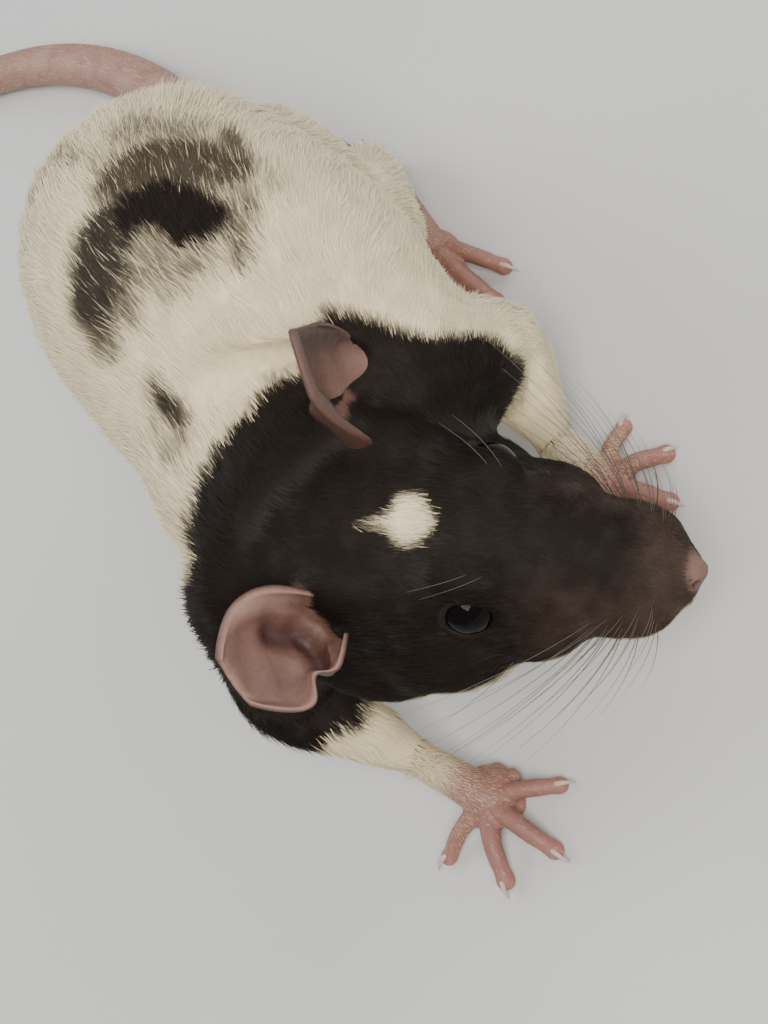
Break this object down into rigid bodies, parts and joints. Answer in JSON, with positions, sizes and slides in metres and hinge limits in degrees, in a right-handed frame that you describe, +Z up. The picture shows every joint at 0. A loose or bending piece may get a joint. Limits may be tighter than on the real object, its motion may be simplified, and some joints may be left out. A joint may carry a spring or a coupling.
{
  "type": "pet rat",
  "caption": "Life-size still model of a hooded pet rat crouched on all four feet, head turned to its left, with a long bare tail curving over the floor.",
  "frame": {"origin": "on the floor, under the middle of the whole animal's box, tail included", "axes": "+Z up; the rump end of the trunk points to +Y and the animal faces -Y; +X is the animal's left"},
  "size_m": [0.1342, 0.2206, 0.0652],
  "materials": {
    "dark coat": "short matt fur with a slight sheen",
    "pale coat": "soft matt fur",
    "bare skin": "satin, finely wrinkled",
    "eye": "wet gloss"
  },
  "bodies": {
    "root": {"head": "dark coat", "neck": "dark coat", "torso": "pale coat", "foreleg_left": "pale coat", "foreleg_right": "pale coat", "hind_leg_left": "pale coat", "hind_leg_right": "pale coat", "forepaw_left": "bare skin", "forepaw_right": "bare skin", "hind_foot_left": "bare skin", "hind_foot_right": "bare skin", "ear_left": "bare skin", "ear_right": "bare skin", "tail_base": "bare skin", "tail_middle": "bare skin", "tail_tip": "bare skin", "eye_left": "eye", "eye_right": "eye"}
  },
  "joints": []
}
